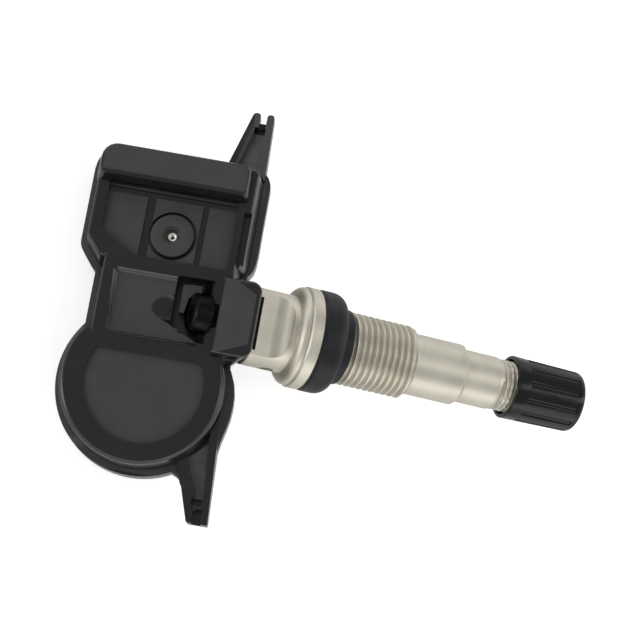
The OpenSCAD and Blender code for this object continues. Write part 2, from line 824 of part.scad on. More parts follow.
// Section of a thread's groove, from its root out past the crests, where it has turned by an angle
function groove_ring(angle, x, root_r, open_r) =
    let(spread = (open_r - root_r) * tan(thread_flank), half = thread_root_w / 2)
    [
        for (p = [[root_r, -half], [open_r, -half - spread], [open_r, half + spread], [root_r, half]])
            [x + p[1], p[0] * cos(angle), p[0] * sin(angle)]
    ];

// Cutter with the form of a thread's groove, wound round the X axis from x0 to x1
module thread_groove(x0, x1, pitch, root_d, crest_d) {
    root_r = root_d / 2 * step_r + eps;
    open_r = crest_d / 2 * step_r + eps;
    rings = round((x1 - x0) / pitch * thread_steps);
    function ring(i) = groove_ring(360 * i / thread_steps, x0 + pitch * i / thread_steps, root_r, open_r);
    polyhedron(
        points = [for (i = [0 : rings]) each ring(i)],
        faces = concat(
            [[3, 2, 1, 0]],
            [[for (k = [0 : 3]) rings * 4 + k]],
            [for (i = [0 : rings - 1]) for (k = [0 : 3])
                [i * 4 + k, i * 4 + (k + 1) % 4, (i + 1) * 4 + (k + 1) % 4]],
            [for (i = [0 : rings - 1]) for (k = [0 : 3])
                [i * 4 + k, (i + 1) * 4 + (k + 1) % 4, (i + 1) * 4 + k]]
        )
    );
}

// Milled flat on top of the neck, running out in a round fillet
module neck_flat() {
    run_out = x_flange - groove_w - cone_len - 3.2;
    translate([x_neck - 1, -10, flat_z]) cube([run_out - x_neck + 1, 20, 10]);
    translate([x_neck - 1, -10, flat_z + flat_fillet]) cube([run_out - x_neck + 1 + flat_fillet, 20, 10]);
    translate([run_out, 10, flat_z + flat_fillet]) rotate([90, 0, 0]) cylinder(h = 20, r = flat_fillet);
}

module valve_stem() {
    color([0.78, 0.77, 0.73]) difference() {
        stem_solid();
        neck_flat();
        thread_groove(x_collar_end + cap_runout + cap_pitch / 2, x_tip + cap_pitch, cap_pitch,
            cap_thread_d - 2 * cap_thread_depth, cap_thread_d);
        translate([x_neck - 1, -tongue_w / 2, -10]) cube([1 + tongue_len, tongue_w, 20]);
        rod(x_neck - 1, screw_tip_x + slip, screw_d + 2 * slip);
        rod(screw_tip_x, x_tip - 5, passage_d);
        translate([vent_x, -10, 0]) rotate([-90, 0, 0]) cylinder(h = 20, d = vent_d);
        rod(core_barrel_x - 4, x_tip, core_throat_d);
        rod(core_plug_x - core_gasket_len, x_tip + 1, core_chamber_d);
    }
}

module sealing_grommet() {
    r = grommet_d / 2;
    bulge = [1.2, 1.8];
    color([0.1, 0.1, 0.12]) turned(concat(
        [[stem_core_d / 2 + slip, x_seat], [r - 0.3, x_seat], [r, x_seat + 0.5]],
        [for (a = [0 : 15 : 90]) [r - bulge[0] * (1 - cos(a)), -bulge[1] * (1 - sin(a))]],
        [[pilot_d / 2, 0], [pilot_d / 2, pilot_len - 0.1], [pilot_d / 2 - 0.1, pilot_len], [stem_core_d / 2 + slip, pilot_len]]
    ));
}

module core_plug() {
    color([0.76, 0.62, 0.3]) difference() {
        rod(core_plug_x, core_top_x, core_plug_d);
        rod(core_plug_x - 1, core_top_x + 1, core_bore_d);
        for (s = [-1, 1]) translate([core_top_x - 1.4, s * 2.4 - 1, -5]) cube([5, 2, 10]);
    }
}

module core_barrel() {
    color([0.76, 0.62, 0.3]) difference() {
        rod(core_barrel_x, core_plug_x, core_barrel_d);
        rod(core_barrel_x + core_wall_t, core_plug_x + 1, core_bore_d);
        rod(core_barrel_x - 1, core_plug_x, pin_guide_d);
    }
}

module core_gasket() {
    color([0.7, 0.2, 0.15]) difference() {
        rod(core_plug_x - core_gasket_len, core_plug_x, core_plug_d);
        rod(core_plug_x - core_gasket_len - 1, core_plug_x + 1, core_barrel_d + 2 * slip);
    }
}

module core_pin() {
    color([0.76, 0.62, 0.3]) {
        rod(core_barrel_x - core_seal_t - 0.6, core_barrel_x - core_seal_t, core_barrel_d - 0.9);
        rod(core_barrel_x - core_seal_t - eps, pin_top_x, core_pin_d);
        rod(collar_x, collar_x + collar_t, core_bore_d - 2 * running);
        rod(pin_top_x - pin_head_len, pin_top_x, 1.8);
    }
}

module core_seal() {
    color([0.12, 0.12, 0.12]) difference() {
        rod(core_barrel_x - core_seal_t, core_barrel_x, core_barrel_d - 0.5);
        rod(core_barrel_x - core_seal_t - 1, core_barrel_x + 1, core_pin_d + 2 * slip);
    }
}

// Ring of points round the spring wire where the coil has turned by an angle
function wire_ring(angle, x) = [
    for (k = [0 : wire_sides - 1])
        let(a = 360 * k / wire_sides, r = spring_r + wire_d / 2 * cos(a))
        [x + wire_d / 2 * sin(a), r * cos(angle), r * sin(angle)]
];

module core_spring() {
    x0 = core_barrel_x + core_wall_t + wire_d / 2 + slip;
    x1 = collar_x - wire_d / 2 - slip;
    rings = spring_turns * spring_steps;
    n = wire_sides;
    points = [for (i = [0 : rings]) each wire_ring(360 * i / spring_steps, x0 + (x1 - x0) * i / rings)];
    faces = concat(
        [[for (k = [0 : n - 1]) k]],
        [[for (k = [n - 1 : -1 : 0]) rings * n + k]],
        [for (i = [0 : rings - 1]) for (k = [0 : n - 1])
            [i * n + k, (i + 1) * n + k, (i + 1) * n + (k + 1) % n]],
        [for (i = [0 : rings - 1]) for (k = [0 : n - 1])
            [i * n + k, (i + 1) * n + (k + 1) % n, i * n + (k + 1) % n]]
    );
    color([0.8, 0.8, 0.82]) polyhedron(points = points, faces = faces);
}

module cap_seal() {
    color([0.12, 0.12, 0.12]) difference() {
        rod(cap_seal_x, cap_seal_x + cap_seal_t, cap_thread_d);
        rod(cap_seal_x - 1, cap_seal_x + cap_seal_t + 1, cap_thread_d - 4);
    }
}

module valve_cap() {
    mouth_r = cap_mouth_d / 2;
    end_r = cap_end_d / 2;
    flute_x0 = x_cap_mouth + flute_start;
    flute_x1 = x_cap_end - flute_end;
    color([0.1, 0.1, 0.1]) difference() {
        turned(concat(
            [[0, x_cap_mouth], [mouth_r - 0.15, x_cap_mouth], [mouth_r, x_cap_mouth + 0.15]],
            [for (a = [0 : 15 : 90])
                [end_r - cap_edge_r * (1 - cos(a)), x_cap_end - cap_edge_r * (1 - sin(a))]],
            [[0, x_cap_end]]
        ));
        rod(x_cap_mouth - 1, cap_roof_x, cap_bore_d);
        rod(x_cap_mouth - 1, x_cap_mouth + cap_counterbore_len, cap_counterbore_d);
        for (i = [0 : flutes - 1]) rotate([flute_turn + 360 * i / flutes, 0, 0])
            translate([0, 0, (mouth_r + end_r) / 2 + flute_w / 2 - flute_depth]) rod(flute_x0, flute_x1, flute_w);
    }
}

upper_housing();
base_housing();
port_disc();
port_insert();
port_seal();
circuit_board();
coin_cell();
cell_tab_top();
cell_tab_bottom();
pressure_chip();
radio_chip();
crystal();
capacitors();
coil_core();
coil_winding();
antenna_loop();
fixing_screw();
valve_stem();
sealing_grommet();
core_plug();
core_barrel();
core_gasket();
core_pin();
core_spring();
core_seal();
cap_seal();
valve_cap();
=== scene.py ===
import math

import bpy
from mathutils import Matrix, Vector


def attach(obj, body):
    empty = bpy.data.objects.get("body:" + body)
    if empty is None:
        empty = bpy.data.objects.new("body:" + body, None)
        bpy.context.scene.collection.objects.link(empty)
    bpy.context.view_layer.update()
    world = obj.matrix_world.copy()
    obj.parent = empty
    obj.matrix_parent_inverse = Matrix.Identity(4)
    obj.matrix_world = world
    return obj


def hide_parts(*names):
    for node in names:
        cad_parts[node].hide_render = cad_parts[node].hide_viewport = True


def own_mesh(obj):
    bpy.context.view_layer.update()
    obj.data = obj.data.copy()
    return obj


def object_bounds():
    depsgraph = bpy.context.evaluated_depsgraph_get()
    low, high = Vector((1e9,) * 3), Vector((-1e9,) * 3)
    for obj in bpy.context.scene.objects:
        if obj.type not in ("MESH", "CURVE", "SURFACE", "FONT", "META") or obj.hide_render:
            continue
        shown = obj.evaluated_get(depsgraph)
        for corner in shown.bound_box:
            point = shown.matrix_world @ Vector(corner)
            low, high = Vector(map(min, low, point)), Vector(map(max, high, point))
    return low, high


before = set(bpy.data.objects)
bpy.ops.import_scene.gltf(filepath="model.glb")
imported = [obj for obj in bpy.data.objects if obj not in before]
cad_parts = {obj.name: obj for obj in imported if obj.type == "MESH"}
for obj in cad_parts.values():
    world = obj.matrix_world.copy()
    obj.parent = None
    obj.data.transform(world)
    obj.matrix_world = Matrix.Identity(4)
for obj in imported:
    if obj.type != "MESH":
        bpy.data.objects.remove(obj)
packed_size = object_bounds()
mm = 0.001


# Shaping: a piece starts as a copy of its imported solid, and is cut, joined and rounded from there.
# Lengths here are in millimetres. The hair keeps two faces out of one plane.
hair = 0.02
steps_around = 72
smooth_angle = math.radians(32)


def take(piece):
    """Selects this piece alone, and makes it the active one."""
    bpy.ops.object.select_all(action="DESELECT")
    piece.select_set(True)
    bpy.context.view_layer.objects.active = piece


def copied(node, name):
    """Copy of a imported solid, its loose triangles welded and its flat faces made whole."""
    piece = bpy.data.objects.new(name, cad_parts[node].data.copy())
    bpy.context.scene.collection.objects.link(piece)
    take(piece)
    bpy.ops.object.mode_set(mode="EDIT")
    bpy.ops.mesh.select_all(action="SELECT")
    bpy.ops.mesh.customdata_custom_splitnormals_clear()
    bpy.ops.mesh.remove_doubles(threshold=0.002 * mm)
    bpy.ops.mesh.dissolve_limited(angle_limit=math.radians(0.3))
    bpy.ops.object.mode_set(mode="OBJECT")
    piece.data.materials.clear()
    return piece


def modified(piece, kind, **settings):
    """Gives a piece one modifier and applies it."""
    take(piece)
    modifier = piece.modifiers.new(kind.lower(), kind)
    for key, value in settings.items():
        setattr(modifier, key, value)
    bpy.ops.object.modifier_apply(modifier=modifier.name)


def softened(piece, width, angle, segments=2):
    """Rounds the edges sharper than an angle, as a mould or a tool leaves them.

    The modifier may hold the width back, and on the tray it does so to almost nothing."""
    modified(piece, "BEVEL", width=width * mm, segments=segments, limit_method="ANGLE",
             angle_limit=math.radians(angle), harden_normals=False)
    take(piece)
    bpy.ops.object.shade_smooth_by_angle(angle=smooth_angle)
    modified(piece, "WEIGHTED_NORMAL", keep_sharp=True, weight=80)
    return piece


def cut(piece, cutter):
    """Takes a cutter's shape out of a piece, and clears the cutter away."""
    modified(piece, "BOOLEAN", object=cutter, operation="DIFFERENCE", solver="EXACT")
    bpy.data.objects.remove(cutter)


def joined(piece, part):
    """Fuses a part into a piece, and clears the part away."""
    modified(piece, "BOOLEAN", object=part, operation="UNION", solver="EXACT")
    bpy.data.objects.remove(part)


# Finishes: every material is a set of nodes whose patterns are placed in millimetres.
class Value:
    """A shader socket that Python's own operators can work on."""

    def __init__(self, finish, socket):
        self.finish = finish
        self.socket = socket

    def maths(self, operation, first, second=0.0):
        return self.finish.node("Math", {"operation": operation}, {0: first, 1: second})

    def __add__(self, other):
        return self.maths("ADD", self, other)

    def __radd__(self, other):
        return self.maths("ADD", other, self)

    def __sub__(self, other):
        return self.maths("SUBTRACT", self, other)

    def __rsub__(self, other):
        return self.maths("SUBTRACT", other, self)

    def __mul__(self, other):
        return self.maths("MULTIPLY", self, other)

    def near(self, middle, reach, soft=0.05):
        """1 within reach of the middle, and 0 past it."""
        return 1 - self.maths("ABSOLUTE", self - middle).between(reach, reach + soft)

    def between(self, low, high):
        """0 up to low, 1 from high, and a smooth rise between them."""
        return self.finish.node("MapRange", {"interpolation_type": "SMOOTHSTEP"},
                                {0: self, 1: low, 2: high, 3: 0.0, 4: 1.0})


class Finish:
    """A material in the making, with its nodes and the shader that they feed."""

    def __init__(self, name, **shader):
        self.material = bpy.data.materials.new(name)
        self.material.use_nodes = True
        self.tree = self.material.node_tree
        self.shader = self.tree.nodes["Principled BSDF"]
        self.feed(self.shader, {key.replace("_", " "): value for key, value in shader.items()})

    def feed(self, node, inputs):
        """Links the values that come from nodes, and sets the others."""
        for key, value in inputs.items():
            if isinstance(value, Value):
                self.tree.links.new(value.socket, node.inputs[key])
            else:
                node.inputs[key].default_value = value

    def node(self, kind, settings=None, inputs=None, output=0):
        """Adds a node: its settings first, then the values or links of its sockets."""
        node = self.tree.nodes.new("ShaderNode" + kind)
        for key, value in (settings or {}).items():
            setattr(node, key, value)
        self.feed(node, inputs or {})
        return Value(self, node.outputs[output])

    def place(self):
        """Where a point is on the object, in millimetres."""
        here = self.node("TexCoord", output=3)
        return self.node("VectorMath", {"operation": "SCALE"}, {0: here, "Scale": 1000.0})

    def axes(self, vector):
        """A vector's X, Y and Z, one by one."""
        return [self.node("SeparateXYZ", inputs={0: vector}, output=i) for i in range(3)]

    def noise(self, vector, size, detail=2.0, roughness=0.5):
        """Uneven pattern whose patches are about size across."""
        return self.node("TexNoise", inputs={"Vector": vector, "Scale": 1 / size, "Detail": detail,
                                             "Roughness": roughness})

    def stretched(self, vector, x, y, z):
        """Place for a pattern that is drawn out along the axes with a small factor."""
        return self.node("VectorMath", {"operation": "MULTIPLY"}, {0: vector, 1: (x, y, z)})

    def blend(self, share, first, second):
        """Colour that goes from the first to the second as share rises."""
        return self.node("Mix", {"data_type": "RGBA"}, {0: share, 6: first, 7: second}, output=2)

    def bump(self, height, depth):
        """Relief of a height from 0 to 1, depth millimetres deep."""
        return self.node("Bump", inputs={"Height": height, "Distance": depth * mm})

    def done(self, **inputs):
        """Feeds the shader the inputs still open, and gives the material."""
        self.feed(self.shader, {key.replace("_", " "): value for key, value in inputs.items()})
        return self.material


def turned_metal(name, light, dark, roughness):
    """Metal turned about the X axis: fine tool rings, and a plating that varies a little."""
    ring_w = 0.22
    relief = 0.0025
    finish = Finish(name, Metallic=1.0)
    place = finish.place()
    rings = finish.noise(finish.stretched(place, 1.0, 0.02, 0.02), ring_w, detail=3.0, roughness=0.6)
    cloud = finish.noise(place, 3.5, detail=3.0)
    grain = finish.noise(place, 0.12, detail=2.0)
    tone = cloud.between(0.25, 0.75) * 0.75 + rings.between(0.3, 0.7) * 0.25
    return finish.done(Base_Color=finish.blend(tone, dark, light),
                       Roughness=roughness + (cloud - 0.5) * 0.12 + (grain - 0.5) * 0.1,
                       Normal=finish.bump(rings * 0.7 + grain * 0.3, relief))


def dressed(piece, finish, body, node):
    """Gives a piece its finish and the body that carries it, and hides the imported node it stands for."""
    piece.data.materials.append(finish)
    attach(piece, body)
    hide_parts(node)


def refinished(node, finish):
    """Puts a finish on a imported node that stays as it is."""
    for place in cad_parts[node].material_slots:
        place.material = finish


# Valve stem: one turned and plated aluminium part. Its neck has a milled flat, a slot for the
# housing's tongue and a cross hole for the air, and both of its threads are cut into the blank.
nut_thread = {"start": 0.75, "end": 13.35, "pitch": 1.0, "root_r": 4.95, "crest_r": 5.5, "root_w": 0.16}
cap_thread = {"start": 27.0955, "end": 37.5, "pitch": 0.794, "root_r": 3.5, "crest_r": 3.9, "root_w": 0.16}


def groove_cutter(name, thread):
    """Ridge that winds along the X axis, with a thread's groove as its section.

    It reaches a little past the crest, so that it cuts the blank's skin cleanly."""
    past_crest = 0.07
    flank = math.radians(30)
    half_root = thread["root_w"] / 2
    outer_r = thread["crest_r"] + past_crest
    half_outer = half_root + (outer_r - thread["root_r"]) * math.tan(flank)
    bpy.ops.object.select_all(action="DESELECT")
    bpy.ops.mesh.primitive_plane_add(size=2, location=(0, 0, 0), rotation=(math.pi / 2, 0, 0))
    cutter = bpy.context.object
    cutter.name = name
    bpy.ops.object.transform_apply(location=True, rotation=True, scale=True)
    bpy.ops.object.mode_set(mode="EDIT")
    bpy.ops.mesh.delete(type="ONLY_FACE")
    bpy.ops.object.mode_set(mode="OBJECT")
    for vertex in cutter.data.vertices:
        inner = vertex.co.z < 0
        half = half_root if inner else half_outer
        vertex.co.x = (thread["start"] + math.copysign(half, vertex.co.x)) * mm
        vertex.co.z = (thread["root_r"] if inner else outer_r) * mm
    turns = round((thread["end"] - thread["start"]) / thread["pitch"])
    modified(cutter, "SCREW", axis="X", screw_offset=thread["pitch"] * mm, iterations=turns,
             steps=steps_around, render_steps=steps_around, use_smooth_shade=False)
    bpy.ops.object.mode_set(mode="EDIT")
    bpy.ops.mesh.select_all(action="SELECT")
    bpy.ops.mesh.remove_doubles(threshold=0.001 * mm)
    bpy.ops.mesh.fill_holes(sides=4)
    bpy.ops.mesh.select_all(action="SELECT")
    bpy.ops.mesh.normals_make_consistent(inside=False)
    bpy.ops.object.mode_set(mode="OBJECT")
    return cutter


stem = copied("valve_stem", "stem")
softened(stem, 0.09, angle=25)
cut(stem, groove_cutter("nut_groove", nut_thread))
cut(stem, groove_cutter("cap_groove", cap_thread))
take(stem)
bpy.ops.object.shade_smooth_by_angle(angle=math.radians(25))


satin_plating = turned_metal("satin_plating", (0.65, 0.62, 0.53, 1), (0.55, 0.525, 0.445, 1), 0.5)
dressed(stem, satin_plating, "sensor", "valve_stem")


# Sealing grommet: black rubber, moulded over the stem and squeezed between its flange and the rim.
# Its pilot fills the rim's valve hole.
grommet = softened(copied("sealing_grommet", "grommet"), 0.14, angle=28)


def moulded_rubber(name, base, bloom, roughness):
    """Rubber with a fine mould grain and a faint paler bloom."""
    grain = 0.16
    finish = Finish(name, Specular_IOR_Level=0.3)
    place = finish.place()
    patches = finish.noise(place, 2.6, detail=4.0)
    fine = finish.noise(place, grain, detail=3.0)
    return finish.done(Base_Color=finish.blend(patches.between(0.45, 0.8), base, bloom),
                       Roughness=roughness + (patches - 0.5) * 0.25,
                       Normal=finish.bump(fine, 0.012))


grommet_rubber = moulded_rubber("grommet_rubber", (0.007, 0.007, 0.010, 1), (0.015, 0.015, 0.019, 1), 0.5)
dressed(grommet, grommet_rubber, "sensor", "sealing_grommet")


# Valve core: a brass insert in the stem's bore, with a red gasket, a sprung pin and a rubber
# poppet seal at its inner end.
brass = turned_metal("core_brass", (0.80, 0.60, 0.28, 1), (0.62, 0.44, 0.19, 1), 0.28)
spring_wire = turned_metal("spring_wire", (0.66, 0.66, 0.67, 1), (0.48, 0.48, 0.5, 1), 0.25)
gasket_red = moulded_rubber("gasket_red", (0.32, 0.035, 0.02, 1), (0.42, 0.08, 0.05, 1), 0.5)
seal_black = moulded_rubber("seal_black", (0.012, 0.012, 0.012, 1), (0.03, 0.03, 0.03, 1), 0.5)
for node in ("core_plug", "core_barrel", "core_pin"):
    refinished(node, brass)
spring = copied("core_spring", "spring")
bpy.ops.object.shade_smooth_by_angle(angle=math.radians(60))
dressed(spring, spring_wire, "sensor", "core_spring")
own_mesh(spring)
refinished("core_gasket", gasket_red)
refinished("core_seal", seal_black)


# Fixing screw: black-oxide steel with a six-lobe recess. It goes in through the nose and pulls
# the stem's neck against the housing.
screw = softened(copied("fixing_screw", "screw"), 0.12, angle=30)
black_oxide = turned_metal("black_oxide", (0.016, 0.016, 0.017, 1), (0.01, 0.01, 0.011, 1), 0.36)
dressed(screw, black_oxide, "sensor", "fixing_screw")


# Base tray: glass-filled black plastic, moulded with its two legs. The rim shows all round the
# cover, and each leg is a channel whose tip is split into prongs.
tilt = math.radians(20.3)
housing_x = -12.1
housing_h = 6.5
tray_h = 3.4
top_slope, low_slope = -0.342, 0.337
top_floor_h, top_wall_h, low_floor_h = 11.93, 12.95, 10.4


def housing_axes(finish):
    """How far a point is along the housing, across it, and its height, in millimetres."""
    x, y, z = finish.axes(finish.place())
    x = x - housing_x
    return (x * math.cos(tilt) + z * math.sin(tilt), y,
            housing_h - x * math.sin(tilt) + z * math.cos(tilt))


def moulded_plastic(name, base, pale, matte=None, fields=None, level=0.55):
    """Glass-filled black plastic: flow clouds, a smooth skin, and eroded grain where fields says so."""
    finish = Finish(name, Specular_IOR_Level=level)
    place = finish.place()
    flow = finish.noise(place, 5.0, detail=4.0, roughness=0.6)
    grain = finish.noise(place, 0.13, detail=3.0, roughness=0.65)
    skin = finish.noise(place, 0.45, detail=2.0)
    speck = finish.noise(place, 0.2, detail=1.0).between(0.76, 0.82)
    eroded = fields(*housing_axes(finish)) if fields else 0.0
    tone = flow.between(0.3, 0.75) * 0.6 + grain.between(0.35, 0.7) * 0.4 + speck * 0.5
    colour = finish.blend(tone, base, pale)
    if fields:
        colour = finish.blend(eroded, colour, finish.blend(tone, *matte))
    return finish.done(Base_Color=colour,
                       Roughness=0.24 + (flow - 0.5) * 0.1 + (skin - 0.5) * 0.08 + eroded * 0.34,
                       Normal=finish.bump(skin * 0.35 + grain * (eroded * 0.8 + 0.1), 0.012))


def tray_fields(x, y, z):
    """The floors of the two channels, up to the steps at the tips, and the rim round the cover at half
    share: their pale colour is partly matte grain and partly painted light.
    """
    top = y.between(23.8, 23.9) * (top_floor_h + y * top_slope - z).near(0, 0.15)
    low = (-17.6 - y).between(0, 0.1) * (low_floor_h + y * low_slope - z).near(0, 0.15)
    rim = z.near(tray_h, 0.08) * y.near(0.5, 24.4, 0.1)
    return top + low + rim * 0.5


housing = (Matrix.Translation((housing_x * mm, 0, 0)) @ Matrix.Rotation(-tilt, 4, "Y")
           @ Matrix.Translation((0, 0, -housing_h * mm)))


def settled(piece):
    """Moves a piece from the housing's own frame into its place on the stem."""
    piece.matrix_world = housing
    take(piece)
    bpy.ops.object.transform_apply(location=True, rotation=True, scale=True)
    return piece


def block(name, outline, low, high, top=None, slope=0.0):
    """Block with an outline of [x, y] points in the housing's frame, between two heights.

    Its top may have its own outline, and may rise with y by a slope."""
    bpy.ops.object.select_all(action="DESELECT")
    bpy.ops.mesh.primitive_circle_add(vertices=len(outline), radius=mm, fill_type="NGON")
    piece = bpy.context.object
    piece.name = name
    for vertex, (x, y) in zip(piece.data.vertices, outline):
        vertex.co = (x * mm, y * mm, low * mm)
    bpy.ops.object.mode_set(mode="EDIT")
    bpy.ops.mesh.select_all(action="SELECT")
    bpy.ops.mesh.extrude_region_move(TRANSFORM_OT_translate={"value": (0, 0, (high - low) * mm)})
    bpy.ops.object.mode_set(mode="OBJECT")
    raised = [vertex for vertex in piece.data.vertices if vertex.select]
    for vertex, (x, y) in zip(raised, top or outline):
        vertex.co = (x * mm, y * mm, (high + slope * y) * mm)
    bpy.ops.object.mode_set(mode="EDIT")
    bpy.ops.mesh.select_all(action="SELECT")
    bpy.ops.mesh.normals_make_consistent(inside=False)
    bpy.ops.object.mode_set(mode="OBJECT")
    return settled(piece)


def rectangle(left, right, low, high):
    return [(left, low), (right, low), (right, high), (left, high)]


rim_by_nose = [(-5, 15), (-1.8, 15), (-1.76, 11.3), (-1.86, 9.7), (-2.05, 8.8), (-2.5, 8), (-3.2, 7.4),
               (-5, 7.1)]
rim_by_cell = [(-5, -5.4), (-3.5, -5.8), (-2.6, -6.6), (-1.9, -8.2), (-1.5, -10), (-1.4, -11.8),
               (-1.5, -13.6), (-1.85, -15.4), (-2.2, -17), (-2.45, -18.6), (-5, -19)]
top_floor = [(-7.7, 23.4), (-3.8, 23.4), (-4.0, 29.9), (-6.2, 29.9)]
top_wall = [(-7.6, 23.4), (-6.95, 23.4), (-5.87, 29.9), (-6.1, 29.9)]
low_floor = [(-7.0, -20.8), (-5.4, -26.0), (-3.2, -25.95), (-3.4, -17.3), (-4.2, -18.2), (-5.3, -19.4)]
leg_fillet = [(-9.6, -22), (-8.9, -22.75), (-8.3, -23.05), (-7.75, -23.3), (-7.3, -23.7), (-7.0, -24.4),
              (-6, -24.4), (-6, -22)]
tip_pockets = [((-5.8, -4.15, 29.6, 30.85), 0.1), ((-5.2, -4.35, 30.8, 31.2), 0.9),
               ((-5.0, -3.4, -26.95, -25.9), 0.0), ((-4.75, -3.3, -27.7, -26.9), 1.2),
               ((-4.5, -3.16, -31, -27.65), -0.31)]
leg_base, over_legs = 0.6, 9
black = ((0.005, 0.005, 0.0053, 1), (0.009, 0.009, 0.009, 1))
field_black = ((0.028, 0.0275, 0.0265, 1), (0.044, 0.043, 0.0415, 1))
# Pale floor colour: partly the eroded grain, and partly painted light standing in for the light that
# reaches into the channels' shade.
floor_grain_and_painted_light = ((0.075, 0.073, 0.07, 1), (0.1, 0.098, 0.093, 1))
tray_plastic = moulded_plastic("tray_plastic", *black, floor_grain_and_painted_light, tray_fields)
tray = copied("base_housing", "tray")
for outline in (rim_by_nose, rim_by_cell, leg_fillet):
    joined(tray, block("rim", outline, 0, tray_h))
for sides, floor in tip_pockets:
    cut(tray, block("tip_pocket", rectangle(*sides), floor, over_legs))
joined(tray, block("top_floor", top_floor, leg_base, top_floor_h, slope=top_slope))
joined(tray, block("top_wall", top_wall, leg_base, top_wall_h, slope=top_slope))
joined(tray, block("low_floor", low_floor, leg_base, low_floor_h, slope=low_slope))


def rounded_tips(piece, past, width):
    """Rounds the upright edges at a leg's tip, which is past a distance along y.

    Steps too short to be rounded are merged there first. The select mode ends as VERT, which
    block() needs."""
    short, upright_min, straight = 0.03, 0.5, 0.05
    back = housing.inverted()
    take(piece)
    bpy.ops.object.mode_set(mode="EDIT")
    bpy.ops.mesh.select_all(action="DESELECT")
    bpy.ops.object.mode_set(mode="OBJECT")
    for vertex in piece.data.vertices:
        vertex.select = (back @ vertex.co / mm).y * past > past * past
    bpy.ops.object.mode_set(mode="EDIT")
    bpy.ops.mesh.remove_doubles(threshold=short * mm)
    bpy.ops.mesh.select_mode(type="EDGE")
    bpy.ops.mesh.select_all(action="DESELECT")
    bpy.ops.object.mode_set(mode="OBJECT")
    places = [back @ vertex.co / mm for vertex in piece.data.vertices]
    for edge in piece.data.edges:
        low, high = (places[i] for i in edge.vertices)
        aside = math.hypot(high.x - low.x, high.y - low.y)
        upright = abs(high.z - low.z) > upright_min and aside < straight
        edge.select = upright and min(low.y * past, high.y * past) > past * past
    bpy.ops.object.mode_set(mode="EDIT")
    bpy.ops.mesh.bevel(offset=width * mm, segments=4, affect="EDGES", clamp_overlap=True)
    bpy.ops.mesh.select_mode(type="VERT")
    bpy.ops.object.mode_set(mode="OBJECT")


rounded_tips(tray, 33.0, 0.45)
rounded_tips(tray, -29.3, 0.25)
softened(tray, 0.24, angle=35, segments=3)
dressed(tray, tray_plastic, "sensor", "base_housing")


# Electronics: a circuit board on the tray's posts, a coin cell between two sprung tabs, and the
# chips, coil and antenna loop soldered to the board.
def plain_finish(name, base, other, roughness, metallic=0.0):
    """Small part's finish: two close tones and a fine relief."""
    size = 0.8
    relief = 0.01
    finish = Finish(name, Metallic=metallic)
    place = finish.place()
    patches = finish.noise(place, size, detail=4.0)
    fine = finish.noise(place, size / 6, detail=2.0)
    return finish.done(Base_Color=finish.blend(patches.between(0.3, 0.7), base, other),
                       Roughness=roughness + (patches - 0.5) * 0.2,
                       Normal=finish.bump(fine, relief))


def board_finish():
    """Green solder mask over glass cloth, with fine copper tracks under it."""
    finish = Finish("solder_mask", Coat_Weight=0.4, Coat_Roughness=0.15)
    place = finish.place()
    x, y, _ = finish.axes(place)
    weave_rate = 14.0
    weave = (finish.node("Math", {"operation": "SINE"}, {0: x * weave_rate})
             * finish.node("Math", {"operation": "SINE"}, {0: y * weave_rate}))
    tracks = finish.noise(finish.stretched(place, 0.3, 2.2, 1.0), 0.9, detail=0.0).between(0.52, 0.56)
    tone = weave * 0.15 + tracks * 0.5 + 0.2
    return finish.done(Base_Color=finish.blend(tone, (0.01, 0.09, 0.035, 1), (0.03, 0.2, 0.08, 1)),
                       Roughness=0.35 + weave * 0.05,
                       Normal=finish.bump(weave * 0.3 + tracks * 0.7, 0.02))


refinished("circuit_board", board_finish())
refinished("coin_cell", plain_finish("cell_steel", (0.62, 0.62, 0.6, 1), (0.5, 0.5, 0.49, 1), 0.26, 1.0))
tab_metal = plain_finish("tab_metal", (0.6, 0.56, 0.46, 1), (0.48, 0.44, 0.36, 1), 0.32, 1.0)
for node in ("cell_tab_top", "cell_tab_bottom", "antenna_loop"):
    refinished(node, tab_metal)
refinished("radio_chip",
           plain_finish("chip_epoxy", (0.014, 0.014, 0.015, 1), (0.022, 0.022, 0.022, 1), 0.55))
refinished("pressure_chip", plain_finish("chip_ceramic", (0.62, 0.6, 0.52, 1), (0.7, 0.68, 0.6, 1), 0.4))
refinished("capacitors", plain_finish("capacitor_ceramic", (0.4, 0.26, 0.15, 1), (0.5, 0.34, 0.2, 1), 0.45))
refinished("crystal", plain_finish("crystal_can", (0.66, 0.66, 0.65, 1), (0.55, 0.55, 0.55, 1), 0.24, 1.0))
refinished("coil_core", plain_finish("ferrite", (0.03, 0.03, 0.034, 1), (0.05, 0.05, 0.05, 1), 0.5))


def winding_finish():
    """Enamelled copper wire wound in close turns about the coil's core, with painted shade between the
    turns and a painted highlight on their crowns.
    """
    finish = Finish("copper_winding", Metallic=1.0)
    place = finish.place()
    x, _, z = finish.axes(place)
    along = x * math.cos(tilt) + z * math.sin(tilt)
    turns_rate = 42.0
    turns = finish.node("Math", {"operation": "SINE"}, {0: along * turns_rate}) * 0.5 + 0.5
    # Painted shade and highlight: the copper's colour follows the turns' relief, darker in the gaps and
    # paler on the crowns.
    return finish.done(Base_Color=finish.blend(turns, (0.35, 0.12, 0.05, 1), (0.72, 0.33, 0.16, 1)),
                       Roughness=0.38 - turns * 0.1, Normal=finish.bump(turns, 0.06))


refinished("coil_winding", winding_finish())


